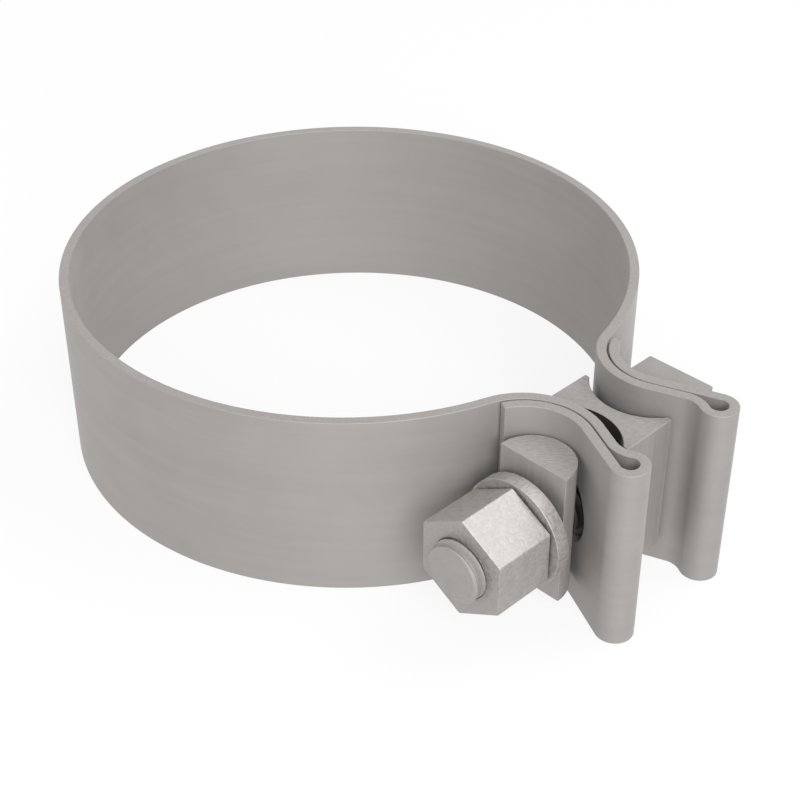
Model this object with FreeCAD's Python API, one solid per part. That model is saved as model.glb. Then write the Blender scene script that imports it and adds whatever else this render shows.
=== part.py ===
import FreeCAD, Part
import math
import os

# Band clamp for an exhaust joint. One flat strip is rolled into a ring, and each of its
# ends is folded back on itself into an ear. A T-bolt draws the two ears together.
# The ring's axis is Z and its lower edge lies on Z = 0. The ears stand out along +X, and
# the bolt lies along Y, with its head on the +Y side and its nut on the -Y side.
# Lengths are in millimetres and angles in degrees.

# The strip and the ring that it is rolled into
tube_diameter = 88.9
strip_thickness = 1.52
band_width = 30.1

# The ears. Each one bulges towards the gap, leans back by its flare along a straight run,
# and turns round in a loop. Its tail then lies along the first layer's back, and lifts off
# it a little towards its end.
nut_ear_apex = 5.98
head_ear_apex = 3.13
nut_ear_trough_radius = 8.14
nut_ear_flare = 26.3
head_ear_flare = 20.5
nut_ear_run = 4.16
head_ear_run = 5.69
layer_gap = 0.25
loop_radius = 2.15
neck_radius = 4.0
tail_lift = 0.14
nut_tail_wrap = 25.0
head_tail_wrap = 17.5

# The bolt, and the hole that lets it swing in the ears as they close
bolt_diameter = 9.45
bolt_end_chamfer = 0.4
thread_showing = 1.95
ear_hole_clearance = 1.38

# The bolt's head: a block with a round nose that lies in the head ear's trough
head_depth = 11.25
head_end_margin = 5.45
head_nose_relief = 1.18
head_seat_gap = 0.1

# The half-round bar that spreads the nut's load over the other ear. It hangs on the bolt,
# so its hole is lower than the bolt's axis and almost touches the bolt's top.
bar_depth = 6.3
bar_end_margin = 4.05
bar_nose_relief = 2.14
bar_seat_gap = 0.3
bar_hole_clearance = 0.4
bar_hole_top_gap = 0.05

# The spacer block between the ears, hollowed on both sides to match their bulge
spacer_length = 16.0
spacer_depth = 10.0
spacer_web = 2.4
spacer_end_margin = 3.75
spacer_cusp_flat = 0.8
spacer_seat_gap = 0.3
spacer_hole_clearance = 0.6

# The washer and the nut
washer_diameter = 17.0
washer_thickness = 2.3
washer_play = 1.45
washer_hole_clearance = 0.35
nut_across_flats = 14.3
nut_thickness = 10.25
nut_seat_gap = 0.3
nut_bore_clearance = 0.05

UP = FreeCAD.Vector(0, 0, 1)
AWAY_FROM_NUT = FreeCAD.Vector(0, 1, 0)

ring_radius = tube_diameter / 2
mid_height = band_width / 2
bolt_radius = bolt_diameter / 2
layer_pitch = strip_thickness + layer_gap
ear_thickness = strip_thickness + layer_pitch

# The ring's arc and each ear's arc touch where they meet, so the nut ear's bulge fixes how
# far out the bolt lies, and that in turn fixes the head ear's bulge.
nut_ear_bulge = nut_ear_trough_radius + ear_thickness
bolt_x = math.sqrt((ring_radius + nut_ear_bulge) ** 2 - (nut_ear_apex + nut_ear_bulge) ** 2)
head_ear_bulge = (
    (bolt_x ** 2 + head_ear_apex ** 2 - ring_radius ** 2)
    / (2 * (ring_radius - head_ear_apex))
)
head_ear_trough_radius = head_ear_bulge - ear_thickness

# Places along the bolt, each one seated on the last
bar_nose_y = -nut_ear_apex - ear_thickness - bar_seat_gap
bar_flat_y = bar_nose_y - bar_depth
washer_back_y = bar_flat_y - washer_play
washer_front_y = washer_back_y - washer_thickness
nut_back_y = washer_front_y - nut_seat_gap
nut_front_y = nut_back_y - nut_thickness
bolt_end_y = nut_front_y - thread_showing
head_nose_y = head_ear_apex + ear_thickness + head_seat_gap


def flat_point(x, y):
    return FreeCAD.Vector(x, y, 0)


def direction(angle):
    return flat_point(math.cos(math.radians(angle)), math.sin(math.radians(angle)))


def bend(centre, radius, start, turn):
    """A round stretch of the strip's middle line, turning left where turn is positive."""
    return {"centre": centre, "radius": radius, "start": start, "turn": turn}


def straight(start, end):
    """A straight stretch of the strip's middle line."""
    return {"from": start, "to": end}


def reversed_stretch(stretch):
    if "turn" in stretch:
        end = stretch["start"] + stretch["turn"]
        return bend(stretch["centre"], stretch["radius"], end, -stretch["turn"])
    return straight(stretch["to"], stretch["from"])


def mirrored_stretch(stretch):
    """The same stretch on the other side of the ring's middle plane."""
    if "turn" in stretch:
        centre = flat_point(stretch["centre"].x, -stretch["centre"].y)
        return bend(centre, stretch["radius"], -stretch["start"], -stretch["turn"])
    start = flat_point(stretch["from"].x, -stretch["from"].y)
    return straight(start, flat_point(stretch["to"].x, -stretch["to"].y))


def surface_edge(stretch, offset):
    """The strip's surface beside a stretch, offset to the left of its middle line."""
    if "turn" in stretch:
        radius = stretch["radius"] - math.copysign(1, stretch["turn"]) * offset
        angles = [stretch["start"] + part * stretch["turn"] for part in (0, 0.5, 1)]
        points = [stretch["centre"] + direction(angle) * radius for angle in angles]
        return Part.Arc(*points).toShape()
    along = (stretch["to"] - stretch["from"]).normalize()
    shift = UP.cross(along) * offset
    return Part.LineSegment(stretch["from"] + shift, stretch["to"] + shift).toShape()


def ear_stretches(apex, bulge, flare, run, tail_wrap):
    """One ear on the +Y side, from where it leaves the ring to the end of its tail."""
    centre = flat_point(bolt_x, apex + bulge)
    ring_angle = math.degrees(math.atan2(centre.y, centre.x))
    outward = direction(flare)
    to_gap = direction(flare - 90)
    first_radius = bulge - strip_thickness / 2
    tail_radius = first_radius - layer_pitch - tail_lift

    run_start = centre + to_gap * first_radius
    neck_start = run_start + outward * run
    loop_rise = loop_radius - layer_pitch
    neck_length = math.sqrt(
        (neck_radius + loop_radius) ** 2 - (neck_radius - loop_rise) ** 2
    )
    neck_turn = math.degrees(math.atan2(neck_length, neck_radius - loop_rise))
    neck_centre = neck_start + to_gap * neck_radius
    loop_centre = neck_start + outward * neck_length + to_gap * loop_rise
    loop_end = loop_centre - to_gap * loop_radius
    tail_centre = centre + to_gap * tail_lift
    tail_start = tail_centre + to_gap * tail_radius

    return [
        bend(centre, first_radius, ring_angle + 180, 90 + flare - ring_angle),
        straight(run_start, neck_start),
        bend(neck_centre, neck_radius, flare + 90, -neck_turn),
        bend(loop_centre, loop_radius, flare - 90 - neck_turn, 180 + neck_turn),
        straight(loop_end, tail_start),
        bend(tail_centre, tail_radius, 270 + flare, -(90 + flare - tail_wrap)),
    ]


def strip_outline(stretches):
    """The closed outline of the strip, seen on its edge."""
    half = strip_thickness / 2
    one_face = [surface_edge(stretch, half) for stretch in stretches]
    other_face = [surface_edge(stretch, -half) for stretch in stretches]
    ends = []
    for index, end in ((0, 0), (-1, -1)):
        one = one_face[index].Vertexes[end].Point
        other = other_face[index].Vertexes[end].Point
        ends.append(Part.LineSegment(one, other).toShape())
    return Part.Wire(Part.__sortEdges__(one_face + other_face + ends))


def bolt_hole(clearance):
    """The round way that the bolt takes through a piece, longer than any of them."""
    length = 2 * (ring_radius + bolt_x)
    start = FreeCAD.Vector(bolt_x, -length / 2, mid_height)
    return Part.makeCylinder(bolt_radius + clearance, length, start, AWAY_FROM_NUT)


def make_band():
    """Ring, ears, loops and tails in one folded strip, with a hole through both ears."""
    nut_ear = ear_stretches(
        nut_ear_apex, nut_ear_bulge, nut_ear_flare, nut_ear_run, nut_tail_wrap
    )
    nut_ear = [mirrored_stretch(stretch) for stretch in nut_ear]
    head_ear = ear_stretches(
        head_ear_apex, head_ear_bulge, head_ear_flare, head_ear_run, head_tail_wrap
    )
    ring_start = head_ear[0]["start"] - 180
    ring_end = nut_ear[0]["start"] + 180
    ring_turn = 360 + ring_end - ring_start
    ring = bend(flat_point(0, 0), ring_radius + strip_thickness / 2, ring_start, ring_turn)
    stretches = [reversed_stretch(stretch) for stretch in reversed(head_ear)]
    stretches += [ring] + nut_ear
    blank = Part.Face(strip_outline(stretches)).extrude(UP * band_width)
    return blank.cut(bolt_hole(ear_hole_clearance))


def nosed_block(nose_radius, depth, end_margin):
    """A block with a half-round nose at Y = 0 and its flat back at Y = depth."""
    corner = nose_radius
    outline = Part.Wire([
        Part.LineSegment(flat_point(corner, depth), flat_point(-corner, depth)).toShape(),
        Part.LineSegment(flat_point(-corner, depth), flat_point(-corner, corner)).toShape(),
        Part.Arc(
            flat_point(-corner, corner), flat_point(0, 0), flat_point(corner, corner)
        ).toShape(),
        Part.LineSegment(flat_point(corner, corner), flat_point(corner, depth)).toShape(),
    ])
    block = Part.Face(outline).extrude(UP * (band_width - 2 * end_margin))
    block.translate(FreeCAD.Vector(bolt_x, 0, end_margin))
    return block


def make_t_bolt():
    """The bolt with its head in one piece. Its fine thread isn't cut here."""
    head_nose_radius = head_ear_trough_radius - head_nose_relief
    head = nosed_block(head_nose_radius, head_depth, head_end_margin)
    head.translate(FreeCAD.Vector(0, head_nose_y, 0))
    root_y = head_nose_y + head_depth / 2
    end = FreeCAD.Vector(bolt_x, bolt_end_y, mid_height)
    tip = Part.makeCone(
        bolt_radius - bolt_end_chamfer, bolt_radius, bolt_end_chamfer, end, AWAY_FROM_NUT
    )
    shank_length = root_y - bolt_end_y - bolt_end_chamfer
    shank_start = end + AWAY_FROM_NUT * bolt_end_chamfer
    shank = Part.makeCylinder(bolt_radius, shank_length, shank_start, AWAY_FROM_NUT)
    return head.fuse([shank, tip]).removeSplitter()


def make_half_round_bar():
    nose_radius = nut_ear_trough_radius - bar_nose_relief
    bar = nosed_block(nose_radius, bar_depth, bar_end_margin)
    turned = bar.mirror(FreeCAD.Vector(0, 0, 0), AWAY_FROM_NUT)
    turned.translate(FreeCAD.Vector(0, bar_nose_y, 0))
    drilled = turned.cut(bolt_hole(bar_hole_clearance))
    drilled.translate(UP * (bar_hole_top_gap - bar_hole_clearance))
    return drilled


def make_spacer_block():
    """The hollows run from cusp to cusp, and leave the web that the bolt goes through."""
    half_length = spacer_length / 2
    half_depth = spacer_depth / 2
    half_web = spacer_web / 2
    hollow_end = half_length - spacer_cusp_flat
    corners = {}
    for side in (1, -1):
        corners[side] = [
            flat_point(side * -half_length, side * half_depth),
            flat_point(side * -hollow_end, side * half_depth),
            flat_point(side * hollow_end, side * half_depth),
            flat_point(side * half_length, side * half_depth),
        ]
    edges = []
    for side in (1, -1):
        outer, hollow_start, hollow_stop, last = corners[side]
        middle = flat_point(0, side * half_web)
        edges.append(Part.LineSegment(outer, hollow_start).toShape())
        edges.append(Part.Arc(hollow_start, middle, hollow_stop).toShape())
        edges.append(Part.LineSegment(hollow_stop, last).toShape())
        edges.append(Part.LineSegment(last, corners[-side][0]).toShape())
    height = band_width - 2 * spacer_end_margin
    block = Part.Face(Part.Wire(edges)).extrude(UP * height)

    # The outer cusp comes nearest to the head ear, on the straight run behind its bulge
    flare = math.radians(head_ear_flare)
    past_bulge = hollow_end - head_ear_bulge * math.sin(flare)
    ear_face_y = (
        head_ear_apex + head_ear_bulge * (1 - math.cos(flare)) + past_bulge * math.tan(flare)
    )
    middle_y = ear_face_y - spacer_seat_gap - half_depth
    block.translate(FreeCAD.Vector(bolt_x, middle_y, spacer_end_margin))
    return block.cut(bolt_hole(spacer_hole_clearance))


def make_washer():
    start = FreeCAD.Vector(bolt_x, washer_front_y, mid_height)
    disc = Part.makeCylinder(washer_diameter / 2, washer_thickness, start, AWAY_FROM_NUT)
    return disc.cut(bolt_hole(washer_hole_clearance))


def make_nut():
    """A deep plain hexagon nut that stands on one corner."""
    corner_radius = nut_across_flats / math.sqrt(3)
    corners = []
    for step in range(7):
        angle = math.radians(90 + 60 * step)
        across = bolt_x + corner_radius * math.cos(angle)
        height = mid_height + corner_radius * math.sin(angle)
        corners.append(FreeCAD.Vector(across, nut_front_y, height))
    blank = Part.Face(Part.makePolygon(corners)).extrude(AWAY_FROM_NUT * nut_thickness)
    return blank.cut(bolt_hole(nut_bore_clearance))


pieces = {
    "band": make_band(),
    "t_bolt": make_t_bolt(),
    "half_round_bar": make_half_round_bar(),
    "spacer_block": make_spacer_block(),
    "washer": make_washer(),
    "nut": make_nut(),
}

os.makedirs("parts", exist_ok=True)
for name, shape in pieces.items():
    shape.exportStep("parts/" + name + ".step")
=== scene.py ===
import math

import bpy
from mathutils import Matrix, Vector


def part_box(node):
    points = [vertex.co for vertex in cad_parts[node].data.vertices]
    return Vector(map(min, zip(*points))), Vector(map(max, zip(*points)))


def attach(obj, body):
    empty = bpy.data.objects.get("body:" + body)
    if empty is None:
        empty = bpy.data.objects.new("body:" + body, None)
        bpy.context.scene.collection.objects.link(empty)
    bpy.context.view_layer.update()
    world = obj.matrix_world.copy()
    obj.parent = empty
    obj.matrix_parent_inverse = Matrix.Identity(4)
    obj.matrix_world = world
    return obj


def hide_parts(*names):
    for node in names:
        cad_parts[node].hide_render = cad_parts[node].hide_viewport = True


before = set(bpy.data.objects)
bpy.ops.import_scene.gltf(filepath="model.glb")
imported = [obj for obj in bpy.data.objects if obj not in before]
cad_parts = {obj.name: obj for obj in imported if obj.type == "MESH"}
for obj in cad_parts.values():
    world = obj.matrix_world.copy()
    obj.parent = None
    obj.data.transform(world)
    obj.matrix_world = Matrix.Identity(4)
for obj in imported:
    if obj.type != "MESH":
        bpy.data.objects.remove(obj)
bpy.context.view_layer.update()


# The band is one flat strip of stainless steel. It is rolled into a ring, and each of its
# ends is folded back on itself into an ear with a drop-shaped loop. The strip's edges are
# sheared and then tumbled smooth, and a punch makes the bolt's hole in each ear.

# Lengths are in metres and angles in degrees.
strip_thickness = 0.00152
nut_ear_apex = 0.00598
head_ear_apex = 0.00313
nut_ear_trough_radius = 0.00814
nut_ear_flare = 26.3
head_ear_flare = 20.5
nut_ear_run = 0.00416
head_ear_run = 0.00569
layer_gap = 0.00025
loop_radius = 0.00215
neck_radius = 0.004
tail_lift = 0.00014
nut_tail_wrap = 25.0
head_tail_wrap = 17.5
bolt_radius = 0.004725
ear_hole_clearance = 0.00138
strip_edge_radius = 0.00012
strip_edge_points = 4
punched_edge = 0.00012
strip_dark = (0.307, 0.295, 0.285, 1)
strip_light = (0.405, 0.389, 0.376, 1)
strip_relief = 0.00001

# The most that the strip's line turns from one of its points to the next.
ring_step = 1.5
ear_step = 3.0
loop_step = 7.5

# How far the noise of the strip's grain slides along X and Y for each step up.
grain_slide_x = 7
grain_slide_y = 5

band_low, band_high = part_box("band")
washer_low, washer_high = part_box("washer")
band_width = band_high.z
mid_height = band_width / 2
tube_radius = band_high.y - strip_thickness
bolt_x = (washer_low.x + washer_high.x) / 2
layer_pitch = strip_thickness + layer_gap
ear_thickness = strip_thickness + layer_pitch
nut_ear_bulge = nut_ear_trough_radius + ear_thickness
head_ear_bulge = (
    (bolt_x ** 2 + head_ear_apex ** 2 - tube_radius ** 2)
    / (2 * (tube_radius - head_ear_apex))
)


def new_piece(name, points, faces):
    """A piece in the scene, with a mesh of these points and faces."""
    mesh = bpy.data.meshes.new(name)
    mesh.from_pydata(points, [], faces)
    piece = bpy.data.objects.new(name, mesh)
    bpy.context.scene.collection.objects.link(piece)
    return piece


def change_mesh(piece, kind, **settings):
    """Runs one modifier and keeps its result as the piece's own mesh."""
    modifier = piece.modifiers.new(kind, kind)
    for setting, value in settings.items():
        setattr(modifier, setting, value)
    graph = bpy.context.evaluated_depsgraph_get()
    changed = bpy.data.meshes.new_from_object(piece.evaluated_get(graph))
    piece.modifiers.clear()
    piece.data = changed


def drill(piece, radius, height):
    """Cuts a round hole right through a piece, along the bolt and at a height."""
    sides = 96
    points = []
    for y in (band_low.y, band_high.y):
        for step in range(sides):
            angle = math.tau * step / sides
            x = bolt_x + radius * math.cos(angle)
            points.append((x, y, height + radius * math.sin(angle)))
    faces = [list(range(sides)), list(range(sides, 2 * sides))[::-1]]
    for step in range(sides):
        after = (step + 1) % sides
        faces.append((step, step + sides, after + sides, after))
    drill_bit = new_piece("drill_bit", points, faces)
    change_mesh(
        piece, "BOOLEAN", object=drill_bit, operation="DIFFERENCE", solver="EXACT"
    )
    bpy.data.objects.remove(drill_bit)


def ease_edges(piece, width, sharper_than):
    """Rounds the edges that turn by more than an angle and shades the piece smooth."""
    change_mesh(
        piece, "BEVEL", width=width, segments=3, limit_method="ANGLE",
        angle_limit=math.radians(sharper_than), use_clamp_overlap=False,
    )
    shade(piece)


def shade(piece, sharper_than=75):
    """Smooth over rounded edges, with the large flats and sharper edges kept."""
    for face in piece.data.polygons:
        face.use_smooth = True
    piece.data.set_sharp_from_angle(angle=math.radians(sharper_than))
    change_mesh(piece, "WEIGHTED_NORMAL", keep_sharp=True)


def walk(moves, point, heading):
    """Follows the strip's middle line and yields each point with the way to its left.

    A move is a radius, the degrees to turn by, to the left where above 0, and the most
    to turn in one step. A straight move is a length that turns by 0.
    """
    yield point, Vector((-math.sin(heading), math.cos(heading)))
    for length, turn, largest_step in moves:
        steps = max(1, math.ceil(abs(turn) / largest_step)) if turn else 1
        bend = math.radians(turn) / steps
        chord = 2 * length * math.sin(abs(bend) / 2) if turn else length
        for _ in range(steps):
            heading += bend / 2
            point = point + chord * Vector((math.cos(heading), math.sin(heading)))
            heading += bend / 2
            yield point, Vector((-math.sin(heading), math.cos(heading)))


def half_of_strip(apex, bulge, flare, run, tail_wrap):
    """From the ring's back round its +Y side, out along an ear and back down its tail."""
    join = math.degrees(math.atan2(apex + bulge, bolt_x))
    ear_radius = bulge - strip_thickness / 2
    ring_middle = tube_radius + strip_thickness / 2
    side = neck_radius - loop_radius + layer_pitch
    neck = neck_radius + loop_radius
    neck_turn = math.degrees(math.acos(side / neck))
    moves = [
        (ring_middle, join - 180, ring_step),
        (ear_radius, 90 + flare - join, ear_step),
        (run, 0, ear_step),
        (neck_radius, -neck_turn, loop_step),
        (loop_radius, 180 + neck_turn, loop_step),
        (run + math.sqrt(neck ** 2 - side ** 2), 0, ear_step),
        (ear_radius - layer_pitch - tail_lift, tail_wrap - 90 - flare, ear_step),
    ]
    return list(walk(moves, Vector((-ring_middle, 0)), math.radians(90)))


def strip_section():
    """The strip's cut shape with its rounded edges, as distances outwards and upwards."""
    reach = strip_thickness / 2 - strip_edge_radius
    rise = band_width - strip_edge_radius
    corners = [
        (reach, strip_edge_radius, 270), (reach, rise, 0),
        (-reach, rise, 90), (-reach, strip_edge_radius, 180),
    ]
    section = []
    for across, up, start in corners:
        for part in range(strip_edge_points):
            angle = math.radians(start + 90 * part / (strip_edge_points - 1))
            section.append((
                across + strip_edge_radius * math.cos(angle),
                up + strip_edge_radius * math.sin(angle),
            ))
    return section


def sweep_strip(line):
    """Carries the strip's section along its line and closes both ends."""
    section = strip_section()
    count = len(section)
    points = []
    for point, outwards in line:
        for across, up in section:
            place = point + outwards * across
            points.append((place.x, place.y, up))
    faces = [list(range(count))[::-1], list(range(len(points) - count, len(points)))]
    for row in range(len(line) - 1):
        for column in range(count):
            start = row * count + column
            after = row * count + (column + 1) % count
            faces.append((start, after, after + count, start + count))
    return new_piece("folded_band", points, faces)


head_half = half_of_strip(
    head_ear_apex, head_ear_bulge, head_ear_flare, head_ear_run, head_tail_wrap
)
nut_half = [
    (Vector((point.x, -point.y)), Vector((outwards.x, -outwards.y)))
    for point, outwards in half_of_strip(
        nut_ear_apex, nut_ear_bulge, nut_ear_flare, nut_ear_run, nut_tail_wrap
    )
]
folded_band = sweep_strip(nut_half[:0:-1] + head_half)
drill(folded_band, bolt_radius + ear_hole_clearance, mid_height)
ease_edges(folded_band, punched_edge, sharper_than=50)


class Value:
    """One output of a material's nodes. Arithmetic on it adds Math nodes."""

    def __init__(self, tree, socket=None):
        self.tree = tree
        self.socket = socket

    def node(self, kind, settings, sockets, output=0):
        """Adds a node, sets it up, fills or links its sockets and returns one output."""
        made = self.tree.nodes.new("ShaderNode" + kind)
        for setting, choice in settings.items():
            setattr(made, setting, choice)
        for name, given in sockets.items():
            if isinstance(given, Value):
                self.tree.links.new(given.socket, made.inputs[name])
            else:
                made.inputs[name].default_value = given
        return Value(self.tree, made.outputs[output])

    def math(self, operation, one, other):
        return self.node("Math", {"operation": operation}, {0: one, 1: other})

    def __add__(self, other):
        return self.math("ADD", self, other)

    __radd__ = __add__

    def __sub__(self, other):
        return self.math("SUBTRACT", self, other)

    def __rsub__(self, other):
        return self.math("SUBTRACT", other, self)

    def __mul__(self, other):
        return self.math("MULTIPLY", self, other)

    __rmul__ = __mul__

    def step(self, low, high):
        """0 below low and 1 above high, with a soft rise between them."""
        return self.node(
            "MapRange", {"interpolation_type": "SMOOTHSTEP"},
            {"Value": self, "From Min": low, "From Max": high},
        )

    def noise(self, stretch, detail=3.0):
        """Noise with so many waves a metre along X, Y and Z, from 0 to 1."""
        stretched = self.node(
            "VectorMath", {"operation": "MULTIPLY"}, {0: self, 1: stretch}
        )
        return self.node(
            "TexNoise", {}, {"Vector": stretched, "Scale": 1.0, "Detail": detail}
        )

    def part(self, axis):
        return self.node("SeparateXYZ", {}, {0: self}, axis)

    def between(self, one, other):
        """The mix of two colours that this mask gives, by the node's colour sockets."""
        factor, first, second, result = 0, 6, 7, 2
        sockets = {factor: self, first: one, second: other}
        return self.node("Mix", {"data_type": "RGBA"}, sockets, result)


class Steel:
    """A bare steel surface, while its finish is worked out."""

    def __init__(self, name):
        self.material = bpy.data.materials.new(name)
        self.material.use_nodes = True
        tree = self.material.node_tree
        self.shader = tree.nodes["Principled BSDF"]
        self.start = Value(tree)
        self.place = self.start.node("TexCoord", {}, {}, "Object")
        self.facing = self.start.node("TexCoord", {}, {}, "Normal")

    def faces_along(self, axis, low, high):
        """1 where the surface looks along an axis, either way, and 0 where across it."""
        facing = self.facing.part(axis)
        return (facing * facing).step(low, high)

    def finish(self, colour, roughness, relief, depth):
        """Sets the colour, the roughness and the fine relief, with the relief's depth."""
        tree = self.start.tree
        bump = self.start.node(
            "Bump", {}, {"Strength": 1.0, "Distance": depth, "Height": relief}
        )
        self.shader.inputs["Metallic"].default_value = 1.0
        tree.links.new(colour.socket, self.shader.inputs["Base Color"])
        tree.links.new(roughness.socket, self.shader.inputs["Roughness"])
        tree.links.new(bump.socket, self.shader.inputs["Normal"])
        return self.material


def rolled_strip():
    """Rolled strip has a fine grain along its length, and a rougher grain on its edges.

    The grain lies level all the way round. Its noise slides sideways as it goes up, so
    that the noise's cells leave no upright seam on the ring.
    """
    steel = Steel("rolled_strip")
    x, y, z = (steel.place.part(axis) for axis in "XYZ")
    slid = steel.start.node(
        "CombineXYZ", {}, {0: x + grain_slide_x * z, 1: y + grain_slide_y * z, 2: z}
    )
    grain = slid.noise((90, 90, 3200))
    streaks = slid.noise((25, 25, 650), detail=2.0)
    mottle = steel.place.noise((140, 140, 140), detail=4.0)
    sheared = steel.faces_along("Z", 0.3, 0.8)
    torn = sheared * steel.place.noise((2300, 2300, 2300), detail=2.0).step(0.3, 0.7)
    wear = 0.3 * grain + 0.3 * streaks + 0.4 * mottle + 0.3 * torn - 0.1 * sheared
    colour = wear.between(strip_dark, strip_light)
    roughness = 0.66 + 0.10 * grain + 0.08 * mottle + 0.2 * sheared
    return steel.finish(colour, roughness, grain + 0.5 * mottle + torn, strip_relief)


def give_finish(piece, material):
    """Gives a piece one material, in place of any empty slot that cutting it left."""
    piece.data.materials.clear()
    piece.data.materials.append(material)


give_finish(folded_band, rolled_strip())
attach(folded_band, "band")
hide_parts("band")


# The half-round bar lies in the nut ear's trough and spreads the nut's load over the ear.
# It is sawn from a drawn half-round bar and drilled for the bolt. Its two ends keep the
# fine marks of the saw.

bar_hole_clearance = 0.0004
bar_edge = 0.0001
nose_step = 5
bar_dark = (0.302, 0.29, 0.28, 1)
bar_light = (0.428, 0.412, 0.398, 1)
# Near black, painted on the curved sides that face an ear as the shade in the gap.
crevice_shade_black = (0.05, 0.047, 0.044, 1)
bar_relief = 0.00002


def extrude(name, outline, low, high):
    """A block with this outline, given anticlockwise from above, between two heights."""
    count = len(outline)
    points = [(x, y, z) for z in (low, high) for x, y in outline]
    faces = [list(range(count))[::-1], list(range(count, 2 * count))]
    for corner in range(count):
        after = (corner + 1) % count
        faces.append((corner, after, after + count, corner + count))
    return new_piece(name, points, faces)


def nosed_outline(half_width, nose_y, flat_y):
    """A flat back with straight sides and a half-round nose, seen from above."""
    towards = math.copysign(1, nose_y - flat_y)
    centre_y = nose_y - towards * half_width
    outline = [(bolt_x - half_width, flat_y), (bolt_x + half_width, flat_y)]
    for degrees in range(0, 181, nose_step):
        angle = math.radians(degrees)
        x = bolt_x + half_width * math.cos(angle)
        outline.append((x, centre_y + towards * half_width * math.sin(angle)))
    return outline if towards > 0 else outline[::-1]


def sawn_bar(name, both_sides_shaded):
    """Drawn along its length, with slanting saw marks across both ends.

    A curved side that lies against an ear is painted near black, as painted shade for the
    narrow dark gap between them: the one towards +Y, or both.
    """
    steel = Steel(name)
    drawn = steel.place.noise((2600, 2600, 70))
    x, y = steel.place.part("X"), steel.place.part("Y")
    slanted = steel.start.node("CombineXYZ", {}, {0: x + y, 1: x - y})
    sawn = slanted.noise((700, 2600, 1), detail=2.0).step(0.3, 0.7)
    mottle = steel.place.noise((260, 260, 260), detail=4.0)
    end = steel.faces_along("Z", 0.5, 0.9)
    marks = end * sawn + (1 - end) * drawn
    wear = 0.7 * marks + 0.3 * mottle
    # Painted shade: the sides that face an ear are painted near black for the dark gap.
    if both_sides_shaded:
        shaded_side = steel.faces_along("Y", 0.35, 0.7)
    else:
        shaded_side = steel.facing.part("Y").step(0.35, 0.7)
    colour = shaded_side.between(wear.between(bar_dark, bar_light), crevice_shade_black)
    roughness = 0.64 + 0.14 * marks + 0.2 * end
    return steel.finish(colour, roughness, marks * (1 + end), bar_relief)


bar_low, bar_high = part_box("half_round_bar")
bar_outline = nosed_outline((bar_high.x - bar_low.x) / 2, bar_high.y, bar_low.y)
load_bar = extrude("sawn_load_bar", bar_outline, bar_low.z, bar_high.z)
drill(load_bar, bolt_radius + bar_hole_clearance, (bar_low.z + bar_high.z) / 2)
ease_edges(load_bar, bar_edge, sharper_than=40)
give_finish(load_bar, sawn_bar("sawn_half_round", both_sides_shaded=False))
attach(load_bar, "half_round_bar")
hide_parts("half_round_bar")


# The spacer block keeps the ears apart. It is sawn from a drawn bar that is hollowed on
# both sides to match the ears' bulge, and the bolt goes through its thin web.

spacer_web = 0.0024
spacer_cusp_flat = 0.0008
spacer_hole_clearance = 0.0006
spacer_edge = 0.00015
hollow_steps = 24

spacer_low, spacer_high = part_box("spacer_block")
spacer_y = (spacer_low.y + spacer_high.y) / 2


def spacer_outline():
    """Two round hollows back to back, each between two small flats, seen from above."""
    half_depth = (spacer_high.y - spacer_low.y) / 2
    reach = (spacer_high.x - spacer_low.x) / 2 - spacer_cusp_flat
    hollow_depth = half_depth - spacer_web / 2
    radius = (reach ** 2 + hollow_depth ** 2) / (2 * hollow_depth)
    half_turn = math.asin(reach / radius)
    outline = []
    for side, start_x, stop_x in (
        (-1, spacer_low.x, spacer_high.x), (1, spacer_high.x, spacer_low.x),
    ):
        flat_y = spacer_y + side * half_depth
        outline.append((start_x, flat_y))
        for step in range(hollow_steps + 1):
            angle = half_turn * (1 - 2 * step / hollow_steps)
            x = bolt_x + side * radius * math.sin(angle)
            y = spacer_y + side * (spacer_web / 2 + radius * (1 - math.cos(angle)))
            outline.append((x, y))
        outline.append((stop_x, flat_y))
    return outline


spacer = extrude("hollowed_spacer", spacer_outline(), spacer_low.z, spacer_high.z)
drill(spacer, bolt_radius + spacer_hole_clearance, mid_height)
ease_edges(spacer, spacer_edge, sharper_than=40)
# Both of the spacer's hollows face an ear, so both get the painted shade.
give_finish(spacer, sawn_bar("sawn_spacer", both_sides_shaded=True))
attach(spacer, "spacer_block")
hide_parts("spacer_block")


# The T-bolt is one forged piece: a round-nosed head that lies in the head ear's trough,
# and a shank with a coarse right-hand thread that is rolled on it as far as the spacer.

head_depth = 0.01125
head_edge = 0.0002
thread_pitch = 0.0015875
thread_depth = 0.00095
thread_half_root = 1 / 8
thread_flank = 5 / 16
thread_stop_y = -0.004
# The thread is painted near black from here to its stop, as the shade in the hollows it
# runs through.
thread_shade_start_y = -0.024
bolt_point = 0.0005
rings_each_turn = 16
turned_sides = 72
# Near black, for the painted shade on the thread.
thread_shade_black = (0.015, 0.0145, 0.014, 1)
forged_relief = 0.00002


def thread_groove(angle, y):
    """How deep a 60 degree thread is cut at a place on the shank, from 0 to 1.

    The widths of its root and flanks are shares of the pitch.
    """
    turn = (-y / thread_pitch - angle / math.tau) % 1
    from_root = abs(turn - 0.5)
    return 1 - min(1, max(0, (from_root - thread_half_root) / thread_flank))


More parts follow.
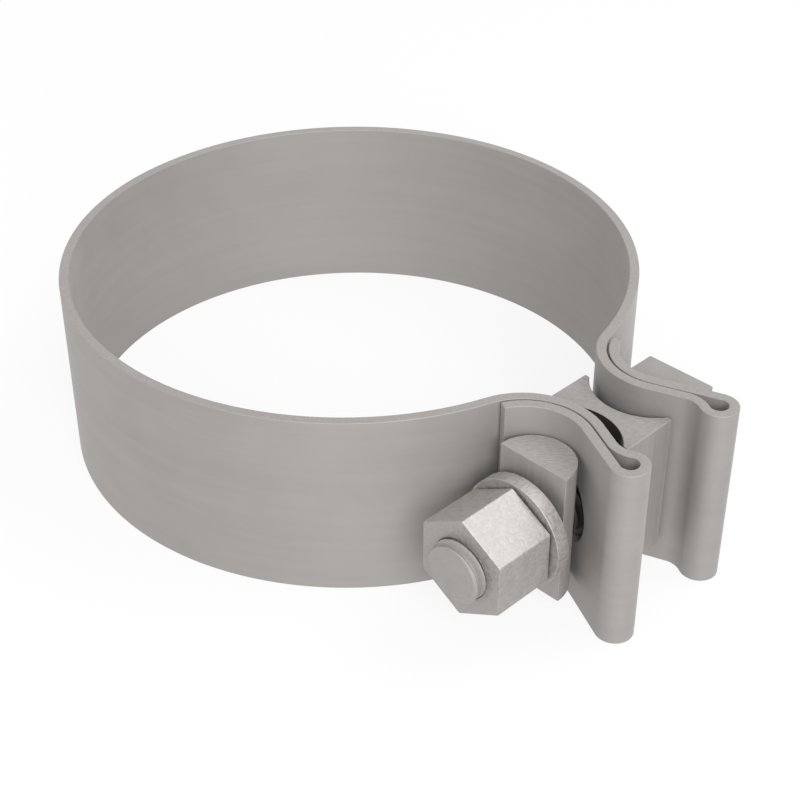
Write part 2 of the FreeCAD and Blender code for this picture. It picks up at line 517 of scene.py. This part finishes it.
def turn_on_axis(name, rings, angles, closed):
    """A skin of rings about the bolt's axis, given from the nut's end to the head's.

    A ring is its place along Y and a function that gives its radius at an angle. A
    closed skin joins its last ring to its first, and an open one gets a flat cap at
    either end.
    """
    count = len(angles)
    points = []
    for y, radius_at in rings:
        for angle in angles:
            radius = radius_at(angle)
            x = bolt_x + radius * math.cos(angle)
            points.append((x, y, mid_height + radius * math.sin(angle)))
    faces = []
    for row in range(len(rings) if closed else len(rings) - 1):
        after_row = (row + 1) % len(rings)
        for column in range(count):
            after = (column + 1) % count
            faces.append((
                row * count + column, after_row * count + column,
                after_row * count + after, row * count + after,
            ))
    if not closed:
        faces += [list(range(count)), list(range(len(points) - count, len(points)))[::-1]]
    return new_piece(name, points, faces)


def distance_from_bolt(steel):
    """How far a place on the surface lies from the bolt's axis."""
    from_axis = steel.start.node(
        "VectorMath", {"operation": "SUBTRACT"},
        {0: steel.place, 1: (bolt_x, 0, mid_height)},
    )
    across = steel.start.node(
        "VectorMath", {"operation": "MULTIPLY"}, {0: from_axis, 1: (1, 0, 1)}
    )
    return steel.start.node("VectorMath", {"operation": "LENGTH"}, {0: across}, "Value")


def forged_steel(name):
    """Forged and blasted, with painted shade on the thread behind the nut, darkest in its
    roots.
    """
    steel = Steel(name)
    grain = steel.place.noise((2200, 2200, 2200), detail=2.0)
    mottle = steel.place.noise((300, 300, 300), detail=4.0)
    along = steel.place.part("Y")
    behind_nut = along.step(thread_shade_start_y, thread_shade_start_y + thread_pitch)
    before_head = 1 - along.step(thread_stop_y, thread_stop_y + thread_pitch)
    # Painted shade: the thread's roots are painted darker still.
    root = 1 - distance_from_bolt(steel).step(bolt_radius - thread_depth, bolt_radius)
    thread_shade = behind_nut * before_head * (0.85 + 0.15 * root)
    wear = 0.5 * grain + 0.5 * mottle
    colour = thread_shade.between(wear.between(bar_dark, bar_light), thread_shade_black)
    roughness = 0.78 + 0.14 * grain
    return steel.finish(colour, roughness, grain + mottle, forged_relief)


def even_rings(start, stop):
    """Places along Y, close enough together for the thread to keep its form."""
    count = math.ceil((stop - start) / thread_pitch * rings_each_turn)
    return [start + (stop - start) * step / count for step in range(count + 1)]


bolt_low, bolt_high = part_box("t_bolt")


def shank_radius(y):
    """The shank's radius at each angle: its chamfered point, its thread or plain rod."""
    point = bolt_radius - bolt_point + (y - bolt_low.y)
    depth = thread_depth * min(1, max(0, (thread_stop_y - y) / thread_pitch))
    return lambda angle: min(point, bolt_radius - depth * thread_groove(angle, y))


shank_rings = [(y, shank_radius(y)) for y in even_rings(bolt_low.y, thread_stop_y)]
shank_rings.append((bolt_high.y - head_depth / 2, shank_radius(thread_stop_y)))
even_angles = [math.tau * step / turned_sides for step in range(turned_sides)]
shank = turn_on_axis("shank", shank_rings, even_angles, closed=False)

head_outline = nosed_outline(
    (bolt_high.x - bolt_low.x) / 2, bolt_high.y - head_depth, bolt_high.y
)
t_bolt = extrude("t_bolt_threaded", head_outline, bolt_low.z, bolt_high.z)
ease_edges(t_bolt, head_edge, sharper_than=40)
change_mesh(t_bolt, "BOOLEAN", object=shank, operation="UNION", solver="EXACT")
bpy.data.objects.remove(shank)
shade(t_bolt)
give_finish(t_bolt, forged_steel("forged_bolt"))
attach(t_bolt, "t_bolt")
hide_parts("t_bolt")


# The washer is a plain disc of hardened steel, with its edges slightly rounded by the
# punch. It turns freely on the bolt, between the bar and the nut.

washer_hole_clearance = 0.00035
washer_edge = 0.00008
edge_steps = 4
fastener_dark = (0.325, 0.313, 0.302, 1)
fastener_light = (0.456, 0.439, 0.425, 1)
turned_relief = 0.00003


def eased_corner(radius, y, grow, back):
    """The rounded corner of a turned section, as radii and places along Y.

    It runs from the flat end at y to the side. The radius changes by grow, and the place
    along Y by back.
    """
    corner = []
    for step in range(edge_steps + 1):
        angle = math.pi / 2 * step / edge_steps
        corner.append((radius + grow * math.sin(angle), y + back * (1 - math.cos(angle))))
    return corner


def washer_rings():
    """The washer's section with its four rounded corners, round from its nut's side."""
    outer = (washer_high.x - washer_low.x) / 2 - washer_edge
    inner = bolt_radius + washer_hole_clearance + washer_edge
    section = eased_corner(outer, washer_low.y, washer_edge, washer_edge)
    section += eased_corner(outer, washer_high.y, washer_edge, -washer_edge)[::-1]
    section += eased_corner(inner, washer_high.y, -washer_edge, -washer_edge)
    section += eased_corner(inner, washer_low.y, -washer_edge, washer_edge)[::-1]
    return [(y, lambda angle, radius=radius: radius) for radius, y in section]


def turned_steel(name):
    """Turned faces with fine rings about the bolt's axis, and flats drawn along it."""
    steel = Steel(name)
    spread = steel.start.node("CombineXYZ", {}, {0: distance_from_bolt(steel)})
    rings = spread.noise((4200, 1, 1))
    drawn = steel.place.noise((2600, 500, 2600), detail=2.0)
    mottle = steel.place.noise((2000, 1500, 2000), detail=2.0).step(0.3, 0.7)
    end = steel.faces_along("Y", 0.5, 0.9)
    marks = end * rings + (1 - end) * drawn
    wear = 0.5 * marks + 0.25 * mottle
    colour = wear.between(fastener_dark, fastener_light)
    roughness = 0.50 + 0.10 * marks + 0.10 * mottle
    return steel.finish(colour, roughness, 0.3 * marks + mottle, turned_relief)


washer = turn_on_axis("punched_washer", washer_rings(), even_angles, closed=True)
shade(washer)
give_finish(washer, turned_steel("punched_steel"))
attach(washer, "washer")
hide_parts("washer")


# The nut is deep and plain, turned from hexagon bar, with the same thread as the bolt and
# a small countersink at each end. Its flats keep the fine grain of the drawn bar.

nut_edge = 0.00015
nut_corner_radius = 0.0003
thread_clearance = 0.00006
countersink = 0.0001
corner_fan = 1.2
half_flat = math.pi / 6

nut_low, nut_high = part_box("nut")
half_across_flats = (nut_high.x - nut_low.x) / 2


def hexagon_radius(offset):
    """A hexagon with a corner up and its corners rounded, set in by an offset below 0."""
    apothem = half_across_flats + offset
    rounding = max(nut_corner_radius + offset, 0)
    corner_centre = (apothem - rounding) / math.cos(half_flat)
    corner_reach = math.atan2(
        rounding * math.sin(half_flat), corner_centre + rounding * math.cos(half_flat)
    )

    def radius_at(angle):
        from_flat = abs((angle + half_flat) % (2 * half_flat) - half_flat)
        from_corner = half_flat - from_flat
        if from_corner > corner_reach:
            return apothem / math.cos(from_flat)
        off_line = corner_centre * math.sin(from_corner)
        along = corner_centre * math.cos(from_corner)
        return along + math.sqrt(max(rounding ** 2 - off_line ** 2, 0))

    return radius_at


def nut_bore(y):
    """The bore's radius at each angle: the thread, or the countersink at either end."""
    from_end = min(y - nut_low.y, nut_high.y - y)
    mouth = bolt_radius + countersink - from_end
    crest = bolt_radius + thread_clearance
    return lambda angle: max(mouth, crest - thread_depth * thread_groove(angle, y))


def nut_rings():
    """The hexagon with its rounded ends, and back through the threaded bore."""
    outside = eased_corner(-nut_edge, nut_low.y, nut_edge, nut_edge)
    outside += eased_corner(-nut_edge, nut_high.y, nut_edge, -nut_edge)[::-1]
    rings = [(y, hexagon_radius(offset)) for offset, y in outside]
    bore = [(y, nut_bore(y)) for y in even_rings(nut_low.y, nut_high.y)]
    return rings + bore[::-1]


# Four more angles at each of the six corners keep their rounding.
nut_angles = sorted(even_angles + [
    math.radians(30 + 60 * corner + corner_fan * part)
    for corner in range(6) for part in (-1, -0.5, 0.5, 1)
])
nut = turn_on_axis("hexagon_nut", nut_rings(), nut_angles, closed=True)
shade(nut, sharper_than=35)
give_finish(nut, turned_steel("drawn_hexagon"))
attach(nut, "nut")
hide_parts("nut")


# The clamp stands on a plain pale floor that runs on to the horizon. The floor shows
# almost white to the camera and in the metal, and keeps the clamp's soft shadow.

floor_size = 40.0
floor_drop = 0.00005
floor_white = 0.86
floor_paint = (0.55, 0.55, 0.55, 1)
pure_white = (1, 1, 1, 1)


def pale_floor():
    """Pale matt paint that also glows, for the camera and in the metal's reflections."""
    material = bpy.data.materials.new("pale_floor")
    material.use_nodes = True
    tree = material.node_tree
    tree.nodes.remove(tree.nodes["Principled BSDF"])
    start = Value(tree)
    paint = start.node("BsdfDiffuse", {}, {"Color": floor_paint})
    white = start.node("Emission", {}, {"Color": pure_white, "Strength": 1.0})
    seen = start.node("LightPath", {}, {}, "Is Camera Ray")
    seen += start.node("LightPath", {}, {}, "Is Glossy Ray")
    seen += start.node("LightPath", {}, {}, "Is Transmission Ray")
    mix = start.node("MixShader", {}, {0: floor_white * seen, 1: paint, 2: white})
    tree.links.new(mix.socket, tree.nodes["Material Output"].inputs["Surface"])
    material.cycles.emission_sampling = "NONE"
    return material


half_floor = floor_size / 2
floor_corners = [
    (side_x * half_floor, side_y * half_floor, -floor_drop)
    for side_x, side_y in ((-1, -1), (1, -1), (1, 1), (-1, 1))
]
floor = new_piece("floor", floor_corners, [(0, 1, 2, 3)])
give_finish(floor, pale_floor())


# The studio light is soft: an even pale room, one broad lamp behind and above that gives
# the bright flat on the nut, a second one in front and a weak one from the left.

key_direction = Vector((0.29, 0.54, 0.79))
key_power = 3.1
front_direction = Vector((0.68, -0.50, 0.54))
front_power = 9.0
left_direction = Vector((-0.70, -0.50, 0.51))
left_power = 0.8
lamp_distance = 0.8
lamp_size = 0.5
room_white = 0.95


def soft_lamp(name, direction, power):
    lamp = bpy.data.lights.new(name, "AREA")
    lamp.shape = "DISK"
    lamp.size = lamp_size
    lamp.energy = power
    holder = bpy.data.objects.new(name, lamp)
    holder.location = Vector((bolt_x, 0, mid_height)) + direction * lamp_distance
    holder.rotation_mode = "QUATERNION"
    holder.rotation_quaternion = direction.to_track_quat("Z", "Y")
    bpy.context.scene.collection.objects.link(holder)


soft_lamp("key_lamp", key_direction, key_power)
soft_lamp("front_lamp", front_direction, front_power)
soft_lamp("left_lamp", left_direction, left_power)

room = bpy.data.worlds.new("pale_room")
room.use_nodes = True
room_light = room.node_tree.nodes["Background"]
room_light.inputs["Color"].default_value = pure_white
room_light.inputs["Strength"].default_value = room_white
bpy.context.scene.world = room
bpy.context.scene.view_settings.view_transform = "Standard"


# The camera looks down on the clamp from the nut's side, along a cube's diagonal. It
# stands about 26 cm away, with a lens somewhat longer than a normal one.

camera_target = Vector((0.01922, -0.00792, 0.01515))
camera_distance = 0.26275
camera_lens = 75.94
camera_sensor = 36.0

camera_data = bpy.data.cameras.new("camera")
camera_data.lens = camera_lens
camera_data.sensor_width = camera_sensor
camera = bpy.data.objects.new("camera", camera_data)
camera_back = Vector((1, -1, 1)).normalized()
camera.location = camera_target + camera_back * camera_distance
camera.rotation_mode = "QUATERNION"
camera.rotation_quaternion = (-camera_back).to_track_quat("-Z", "Y")
bpy.context.scene.collection.objects.link(camera)
bpy.context.scene.camera = camera


# The scene is brought up to date at the end.

bpy.context.view_layer.update()
